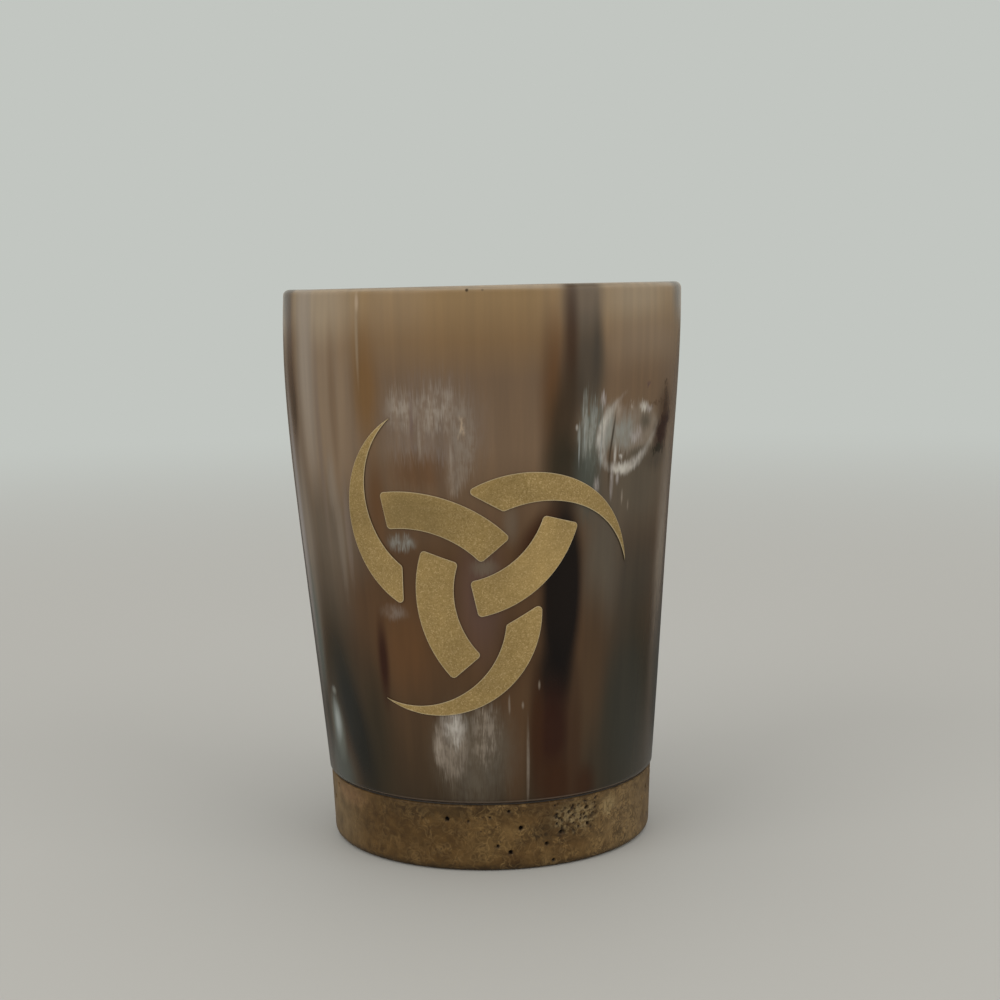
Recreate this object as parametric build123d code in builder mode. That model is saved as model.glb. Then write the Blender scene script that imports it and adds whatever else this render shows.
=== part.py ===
import os
from math import atan, atan2, cos, hypot, pi, sin

from build123d import *

# A drinking cup made from a cut length of cattle horn on a turned wooden base.
# Millimetres, +Z up. The origin is the centre of the underside, and the gold figure faces -Y.

# Horn
cup_height = 78.0
rim_diameter = 55.9
foot_diameter = 46.7  # outside of the horn at its lower end
lip_length = 28.0  # the straight taper ends this far below the rim
lip_turn_in = 1.1  # how far the rim lies inside the straight taper
bow = 0.45  # sideways bend of the horn, greatest above the middle
rim_wall = 2.8
foot_wall = 3.8
rim_round = 0.9
foot_bevel = 0.35
seat_cut = 0.65  # the bore is opened by this much at the foot, to seat the wood
station_count = 9  # round sections that the horn runs through

# Wooden base, with a spigot that goes up into the seat
base_height = 9.2
base_step = 0.2  # the wood stands this far inside the horn's outer edge
base_taper = 0.4  # the wood is this much smaller in radius at the bottom
base_bottom_round = 0.9
base_top_round = 0.2
spigot_height = 6.0
spigot_bevel = 0.5

# Glue between wood and horn
glue_thickness = 0.25
glue_setback = 0.3  # the glue stops this far inside the edge of the wood

# Clear resin floor over the spigot
seal_thickness = 0.8
seal_creep = 1.2  # height and width of the hollow curve where the resin climbs the wall
seal_clearance = 0.03

# Gold leaf figure: three interlocked horns about a common centre, each a crescent and a bar
arm_count = 3
leaf_thickness = 0.12
leaf_bond = 0.02
figure_drop = 2.2  # the figure's centre lies this far below the middle of the horn
figure_stretch = 1.045  # the figure is this much wider round the horn than it is tall
crescent_tip_reach = 21.9
crescent_tip_angle = -3.4
crescent_back_reach = 10.2
crescent_back_angle = 90.8
crescent_belly_reach = 8.7
crescent_belly_angle = 59.5
crescent_outer_rise = 7.2
crescent_inner_rise = 4.6
bar_centre_reach = 10.8
bar_centre_angle = 102.2
bar_inner_radius = 12.4
bar_width = 4.9
bar_start_angle = -79.4
bar_sweep = 61.2
corner_round = 0.55
points_per_edge = 8  # points that carry each flat edge onto the horn

# Sizes that follow from those above
horn_bottom = base_height + glue_thickness
horn_length = cup_height - horn_bottom
taper = (rim_diameter / 2 + lip_turn_in - foot_diameter / 2) / horn_length
seat_radius = foot_diameter / 2 - foot_wall + seat_cut
spigot_radius = seat_radius - glue_thickness
spigot_top = base_height + spigot_height
base_radius = foot_diameter / 2 - base_step
figure_height = horn_bottom + horn_length / 2 - figure_drop
heights = [horn_bottom + horn_length * i / (station_count - 1) for i in range(station_count)]


def horn_radius(height):
    """Outside of the horn: a straight taper that turns upright in the lip."""
    lip = max(0.0, (height - cup_height + lip_length) / lip_length)
    return foot_diameter / 2 + taper * (height - horn_bottom) - lip_turn_in * lip**3


def bore_radius(height):
    """Inside of the horn: the wall thins evenly from the foot to the rim."""
    wall = foot_wall + (rim_wall - foot_wall) * (height - horn_bottom) / horn_length
    return horn_radius(height) - wall


def horn_side(height):
    """Sideways place of the horn's centre, which bows towards -X."""
    share = (height - horn_bottom) / horn_length
    return -bow * sin(pi * share**1.5)


def bowed_form(radius_at, growth):
    """A solid that follows the bow of the horn, grown by an even amount all round."""
    with BuildPart() as form:
        for height in heights:
            with BuildSketch(Plane((horn_side(height), 0, height))):
                Circle(radius_at(height) + growth)
        loft()
    return form.part


def from_figure_centre(reach, angle):
    return Vector(reach, 0).rotate(Axis.Z, angle)


def lay_on_horn(point):
    """Front view (x, z) of a point of the flat figure once it is wrapped on the tapered horn."""
    half_angle = atan(taper)
    apex = horn_radius(figure_height) / sin(half_angle)
    across = figure_stretch * point.X
    slant = hypot(across, apex + point.Y)
    around = atan2(across, apex + point.Y) / sin(half_angle)
    height = figure_height + (slant - apex) * cos(half_angle)
    return (horn_side(height) + horn_radius(height) * sin(around), height)


os.makedirs("parts", exist_ok=True)

# Horn sleeve: lofted through round sections, rim rounded, bored from below to seat the wood
with BuildPart() as horn_sleeve:
    for height in heights:
        with BuildSketch(Plane((horn_side(height), 0, height))):
            Circle(horn_radius(height))
            Circle(bore_radius(height), mode=Mode.SUBTRACT)
    loft()
    fillet(horn_sleeve.edges().group_by(Axis.Z)[-1], min(rim_round, 0.45 * rim_wall))
    chamfer(horn_sleeve.edges().group_by(Axis.Z)[0].sort_by(SortBy.LENGTH)[-1], foot_bevel)
    with BuildSketch(Plane.XY.offset(horn_bottom)):
        Circle(seat_radius)
    extrude(amount=spigot_top - horn_bottom, mode=Mode.SUBTRACT)
horn_sleeve.part.label = "horn_sleeve"
export_step(horn_sleeve.part, "parts/horn_sleeve.step")

# Wooden base: foot and spigot turned in one piece
with BuildPart() as wooden_base:
    with BuildSketch(Plane.XZ):
        with BuildLine():
            Polyline(
                (0, 0),
                (base_radius - base_taper, 0),
                (base_radius, base_height),
                (spigot_radius, base_height),
                (spigot_radius, spigot_top),
                (0, spigot_top),
                close=True,
            )
        make_face()
    revolve(axis=Axis.Z)
    fillet(wooden_base.edges().group_by(Axis.Z)[0], base_bottom_round)
    shoulder_edges = wooden_base.edges().filter_by_position(Axis.Z, base_height, base_height)
    fillet(shoulder_edges.sort_by(SortBy.LENGTH)[-1], base_top_round)
    chamfer(wooden_base.edges().group_by(Axis.Z)[-1], spigot_bevel)
wooden_base.part.label = "wooden_base"
export_step(wooden_base.part, "parts/wooden_base.step")

# Glue: a flat ring on the shoulder of the wood and a sleeve round the spigot
with BuildPart() as glue_layer:
    with BuildSketch(Plane.XY.offset(base_height)):
        Circle(base_radius - glue_setback)
        Circle(spigot_radius, mode=Mode.SUBTRACT)
    extrude(amount=glue_thickness)
    with BuildSketch(Plane.XY.offset(horn_bottom)):
        Circle(seat_radius)
        Circle(spigot_radius, mode=Mode.SUBTRACT)
    extrude(amount=spigot_top - spigot_bevel - horn_bottom)
glue_layer.part.label = "glue_layer"
export_step(glue_layer.part, "parts/glue_layer.step")

# Resin floor: a poured disc that climbs the wall of the bore in a hollow curve
seal_side = horn_side(spigot_top)
seal_edge = seal_thickness + seal_creep
seal_reach = bore_radius(spigot_top + seal_edge)
bore_for_seal = bowed_form(bore_radius, -seal_clearance)
with BuildPart() as floor_seal:
    with BuildSketch(Plane((seal_side, 0, spigot_top), x_dir=(1, 0, 0), z_dir=(0, -1, 0))):
        with BuildLine():
            Polyline((0, seal_thickness), (0, 0), (seal_reach, 0), (seal_reach, seal_edge))
            RadiusArc((seal_reach, seal_edge), (seal_reach - seal_creep, seal_thickness), seal_creep)
            Line((seal_reach - seal_creep, seal_thickness), (0, seal_thickness))
        make_face()
    revolve(axis=Axis((seal_side, 0, 0), (0, 0, 1)))
    add(bore_for_seal, mode=Mode.INTERSECT)
floor_seal.part.label = "floor_seal"
export_step(floor_seal.part, "parts/floor_seal.step")

# Flat outlines of the two shapes in the gold figure, about the figure's centre
crescent_tip = from_figure_centre(crescent_tip_reach, crescent_tip_angle)
crescent_back = from_figure_centre(crescent_back_reach, crescent_back_angle)
crescent_belly = from_figure_centre(crescent_belly_reach, crescent_belly_angle)
with BuildSketch() as flat_crescent:
    with BuildLine():
        SagittaArc(crescent_back, crescent_tip, crescent_outer_rise)
        SagittaArc(crescent_belly, crescent_tip, crescent_inner_rise)
        Line(crescent_belly, crescent_back)
    make_face()
    fillet(flat_crescent.vertices().sort_by(Axis.X)[:2], corner_round)

bar_centre = from_figure_centre(bar_centre_reach, bar_centre_angle)
with BuildSketch() as flat_bar:
    with BuildLine():
        bar_outer = CenterArc(bar_centre, bar_inner_radius + bar_width, bar_start_angle, bar_sweep)
        bar_inner = CenterArc(bar_centre, bar_inner_radius, bar_start_angle, bar_sweep)
        Line(bar_outer @ 0, bar_inner @ 0)
        Line(bar_outer @ 1, bar_inner @ 1)
    make_face()
    fillet(flat_bar.vertices(), corner_round)

# Gold leaf: each shape is turned about the figure's centre, wrapped on the horn and made solid
leaf_inside = bowed_form(horn_radius, leaf_bond)
leaf_outside = bowed_form(horn_radius, leaf_bond + leaf_thickness)
leaf_shapes = {
    "crescent_leaf": (flat_crescent, ["right", "left", "bottom"]),
    "bar_leaf": (flat_bar, ["right", "top", "left"]),
}
for leaf_name, (flat_shape, places) in leaf_shapes.items():
    for arm, place in enumerate(places):
        turn = 360 / arm_count * arm
        with BuildPart() as leaf:
            with BuildSketch(Plane.XZ):
                with BuildLine():
                    for edge in flat_shape.face().outer_wire().edges():
                        steps = [edge @ (i / (points_per_edge - 1)) for i in range(points_per_edge)]
                        Spline(*[lay_on_horn(step.rotate(Axis.Z, turn)) for step in steps])
                make_face()
            extrude(amount=rim_diameter)
            add(leaf_outside, mode=Mode.INTERSECT)
            add(leaf_inside, mode=Mode.SUBTRACT)
        leaf.part.label = f"{leaf_name}_{place}"
        export_step(leaf.part, f"parts/{leaf_name}_{place}.step")
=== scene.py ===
import math
import random

import bpy
from mathutils import Matrix, Vector, noise
from mathutils.bvhtree import BVHTree


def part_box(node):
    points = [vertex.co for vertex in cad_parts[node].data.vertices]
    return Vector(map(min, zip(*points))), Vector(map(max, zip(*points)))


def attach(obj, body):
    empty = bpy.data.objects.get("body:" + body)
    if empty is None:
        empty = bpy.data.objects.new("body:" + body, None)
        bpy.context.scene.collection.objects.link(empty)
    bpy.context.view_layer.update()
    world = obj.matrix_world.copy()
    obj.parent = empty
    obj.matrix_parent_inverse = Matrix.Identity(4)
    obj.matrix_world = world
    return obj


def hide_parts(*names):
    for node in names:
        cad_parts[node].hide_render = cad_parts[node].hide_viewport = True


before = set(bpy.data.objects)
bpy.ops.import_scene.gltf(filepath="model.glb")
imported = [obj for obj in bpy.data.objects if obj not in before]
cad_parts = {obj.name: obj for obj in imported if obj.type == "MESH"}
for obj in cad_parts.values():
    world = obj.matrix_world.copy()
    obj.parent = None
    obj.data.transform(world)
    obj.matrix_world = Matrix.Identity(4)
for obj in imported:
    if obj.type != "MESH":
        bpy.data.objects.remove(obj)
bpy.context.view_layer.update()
print("frame loaded:", ", ".join(sorted(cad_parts)))

mm = 0.001
turn = 2 * math.pi
front = -math.pi / 2  # the gold figure faces -Y
hair = 0.002 * mm  # by this much a ray just misses a flat end
noiseSpan = (0.3, 0.7)  # nearly all of a noise texture lies between these
wideSpan = (0.25, 0.75)


def hexColour(code):
    # sRGB hex to the linear values that Blender's sockets take
    parts = [int(code[i:i + 2], 16) / 255 for i in (1, 3, 5)]
    linear = [c / 12.92 if c <= 0.04045 else ((c + 0.055) / 1.055) ** 2.4 for c in parts]
    return (*linear, 1.0)


def addNode(tree, kind, inputs=None, stops=None, **settings):
    # One node with its settings, its values or links, and a ramp's stops if it has them. It gives
    # the node's outputs, and an input that is given outputs takes the first of them.
    made = tree.nodes.new("ShaderNode" + kind)
    for name, value in settings.items():
        setattr(made, name, value)
    for socket, value in (inputs or {}).items():
        if isinstance(value, bpy.types.bpy_prop_collection):
            value = value[0]
        if isinstance(value, bpy.types.NodeSocket):
            tree.links.new(value, made.inputs[socket])
        else:
            made.inputs[socket].default_value = value
    if stops:
        points = made.color_ramp.elements
        while len(points) < len(stops):
            points.new(1.0)
        for point, (place, code) in zip(points, stops):
            point.position = place
            point.color = hexColour(code)
    return made.outputs


def newMaterial(name):
    material = bpy.data.materials.new(name)
    material.use_nodes = True
    material.node_tree.nodes.clear()
    return material, material.node_tree


def millimetres(tree):
    # object coordinates in millimetres, the same in every view
    place = addNode(tree, "TexCoord")["Object"]
    return addNode(tree, "VectorMath", {0: place, "Scale": 1 / mm}, operation="SCALE")


def stretched(tree, place, across, along):
    # coordinates in which one unit is the given size across the horn and along it
    return addNode(
        tree, "VectorMath", {0: place, 1: (1 / across, 1 / across, 1 / along)}, operation="MULTIPLY"
    )


def finished(material, height, settings, inputs):
    # the last nodes of a material: relief from a pattern, the shader and the output
    tree = material.node_tree
    strength, depth = settings["relief"]
    relief = addNode(tree, "Bump", {"Height": height, "Strength": strength, "Distance": depth * mm})
    shader = addNode(tree, "BsdfPrincipled", {**inputs, "Normal": relief})
    addNode(tree, "OutputMaterial", {0: shader})
    return material


# CAD readings

def cadTree(name):
    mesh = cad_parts[name].data
    return BVHTree.FromPolygons([v.co for v in mesh.vertices], [p.vertices for p in mesh.polygons])


def readRing(tree, height, fromInside=False, rays=72, outset=0.1):
    # centre and radius of the CAD part at one height, from rays cast level with it
    hits = []
    for i in range(rays):
        way = Vector((math.cos(turn * i / rays), math.sin(turn * i / rays), 0))
        start = Vector((0, 0, height)) + way * (0 if fromInside else outset)
        hits.append(tree.ray_cast(start, way if fromInside else -way)[0])
    # rays that aim at the axis show only half of a ring's own offset
    centre = Vector((2 * sum(h.x for h in hits) / rays, 2 * sum(h.y for h in hits) / rays, height))
    radius = sum((h - centre).length for h in hits) / rays
    return centre, radius


def ringMesh(name, rows, columns, shape, bodyMaterials, materialOf, closed=False):
    # a skin of rings; a row is (centre, radius), and shape moves each point of it
    verts = []
    for r, (centre, radius) in enumerate(rows):
        for c in range(columns):
            angle = front + turn * c / columns
            way = Vector((math.cos(angle), math.sin(angle), 0))
            verts.append(shape(centre, radius, way, angle - front, r))
    faces, slots = [], []
    count = len(rows)
    for r in range(count if closed else count - 1):
        for c in range(columns):
            n = (c + 1) % columns
            low, high = r * columns, (r + 1) % count * columns
            faces.append((low + c, low + n, high + n, high + c))
            slots.append(materialOf(r, c))
    if not closed:
        for r, flip in ((0, True), (count - 1, False)):
            hub = len(verts)
            verts.append(rows[r][0].copy())
            for c in range(columns):
                a, b = r * columns + c, r * columns + (c + 1) % columns
                faces.append((b, a, hub) if flip else (a, b, hub))
                slots.append(materialOf(r, c))
    mesh = bpy.data.meshes.new(name)
    mesh.from_pydata(verts, [], faces)
    for material in bodyMaterials:
        mesh.materials.append(material)
    mesh.polygons.foreach_set("material_index", slots)
    mesh.polygons.foreach_set("use_smooth", [True] * len(faces))
    mesh.update()
    piece = bpy.data.objects.new(name, mesh)
    bpy.context.scene.collection.objects.link(piece)
    return piece


# Camera

cameraSet = {
    "place": (18.50, -248.42, 78.07),  # mm
    "yaw": 3.81,
    "tilt": 82.95,
    "roll": -1.01,
    "lens": 63.04,
    "sensor": 36.0,
    "nearest": 0.01,  # metres
}

cameraData = bpy.data.cameras.new("camera")
cameraData.sensor_width = cameraSet["sensor"]
cameraData.lens = cameraSet["lens"]
cameraData.clip_start = cameraSet["nearest"]
camera = bpy.data.objects.new("camera", cameraData)
bpy.context.scene.collection.objects.link(camera)
camera.matrix_world = (
    Matrix.Translation(Vector(cameraSet["place"]) * mm)
    @ Matrix.Rotation(math.radians(cameraSet["yaw"]), 4, "Z")
    @ Matrix.Rotation(math.radians(cameraSet["tilt"]), 4, "X")
    @ Matrix.Rotation(math.radians(cameraSet["roll"]), 4, "Z")
)
bpy.context.scene.camera = camera
print("camera placed")


# Horn material
# Cattle horn, scraped and polished: translucent keratin with colour running along its length,
# so the eye sees soft upright bands, pale torn fibre and a wet-looking gloss.

hornSet = {
    "columns": 480,
    "ringStep": 0.5,  # mm between rings on the outside
    "boreStep": 1.5,
    "rimRound": 0.9,
    "rimRings": 8,
    "footBevel": 0.35,
    "bevelRings": 3,
    "polish": 0.05,  # mm that the hand polish takes off unevenly
    "polishWidth": 9.0,
    "polishLength": 40.0,
    "rimWave": 0.10,
    "rimWaves": 1.4,
    "rimWaveStart": 7.3,
    "rimSlope": 0.25,  # mm, the rim is cut a little lower on the left
    "rimReach": 3.0,  # mm below the rim where its wave and slope end
    "rollRadius": 26.0,  # mm, turns an angle into a distance round the horn
    "spare": 2.5,  # mm that a mark may sway or lean past its own width
    "wander": 0.8,  # mm that the bands sway
    "wanderSize": (9.0, 34.0),  # mm across, mm along
    "tear": (0.4, 0.8),  # mm that torn edges jump sideways and up
    "tearSize": (0.55, 1.3),
    "fibreSize": (0.17, 7.0),  # real fibres are finer, drawn coarse enough to show
    "grainSize": (0.16, 2.0),
    "mottleSize": (1.1, 1.5),
    "streakSize": (1.3, 40.0),
    "detail": {"wander": 2.0, "tear": 3.0, "fibre": 1.0, "grain": 3.0, "mottle": 2.0, "streak": 4.0},
    "breakUp": (0.85, 1.15),  # grain and mottle together, from bare to whole
    "streakDark": (0.92, 0.93, 0.95),
    "streakLight": (1.08, 1.07, 1.05),
    "relief": (0.06, 0.05),  # of the streaks: strength, depth in mm
    "layer": 0.3,  # mm, thickness of the layers that the cut rim shows
    "layerSize": (9.0, 9.0),
    "layerShade": (-0.28, 0.2),
    "rimFacing": (0.5, 0.9),  # how far a face looks up, from the side to the cut rim
    "roughness": (0.16, 0.30),
    "specular": 0.15,  # kept low, so that reflections leave the bands clear
    "ior": 1.54,  # keratin
}

# tones of cattle horn: blacks and browns, then honeys, warm greys to bleached fibre, and cool greys
hornTones = {
    "pitch": "#0a0402",
    "soot": "#121410",
    "oxblood": "#280e04",
    "russet": "#341c0a",
    "liver": "#3c2818",
    "peat": "#2a2418",
    "olive": "#2a2a22",
    "umber": "#362a1c",
    "walnut": "#463422",
    "chestnut": "#4e3824",
    "amber": "#583c22",
    "plum": "#584440",
    "toffee": "#6c5030",
    "fawn": "#6a5642",
    "caramel": "#765e42",
    "sand": "#7e6c58",
    "honey": "#846c4c",
    "straw": "#92826c",
    "cream": "#a49078",
    "smoke": "#443c32",
    "fog": "#544c40",
    "ash": "#605446",
    "taupe": "#6e6054",
    "mist": "#7c7062",
    "dove": "#8c8072",
    "pearl": "#98908a",
    "ivory": "#a8a298",
    "bone": "#b8b2a6",
    "slate": "#42453e",
    "steel": "#5c6058",
    "pewter": "#6e6e66",
    "silver": "#82827a",
    "frost": "#909490",
}

# colour up the front of the horn, from the foot to the rim; the honey and straw near the rim are partly the
# horn's own colour and partly painted light that shines through the thin wall near the mouth
hornHeights = [
    (9.5, "umber"),
    (20.0, "walnut"),
    (30.0, "chestnut"),
    (43.0, "chestnut"),
    (57.0, "fawn"),
    (66.0, "fawn"),
    (71.0, "caramel"),
    (76.0, "honey"),
    (77.2, "honey"),
    (77.5, "straw"),
]

# A mark is a soft spot of one tone. "at" is the distance round from the front and the height, and
# "half" the half width and half height, all in mm. Lean tips a mark sideways as it rises and bow
# bends it, climb lifts its right end and sag bends it up at both, fray lets single fibres run past
# its ends, grain breaks it up, and torn makes its edges ragged.
plainMark = {
    "soft": 0.8, "lean": 0, "bow": 0, "climb": 0, "sag": 0,
    "fray": 0, "grain": 0, "strength": 0.9, "torn": False,
}


def mark(tone, at, half, **own):
    # a plain mark but for what it says of its own
    return {"tone": tone, "at": at, "half": half, **plainMark, **own}


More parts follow.
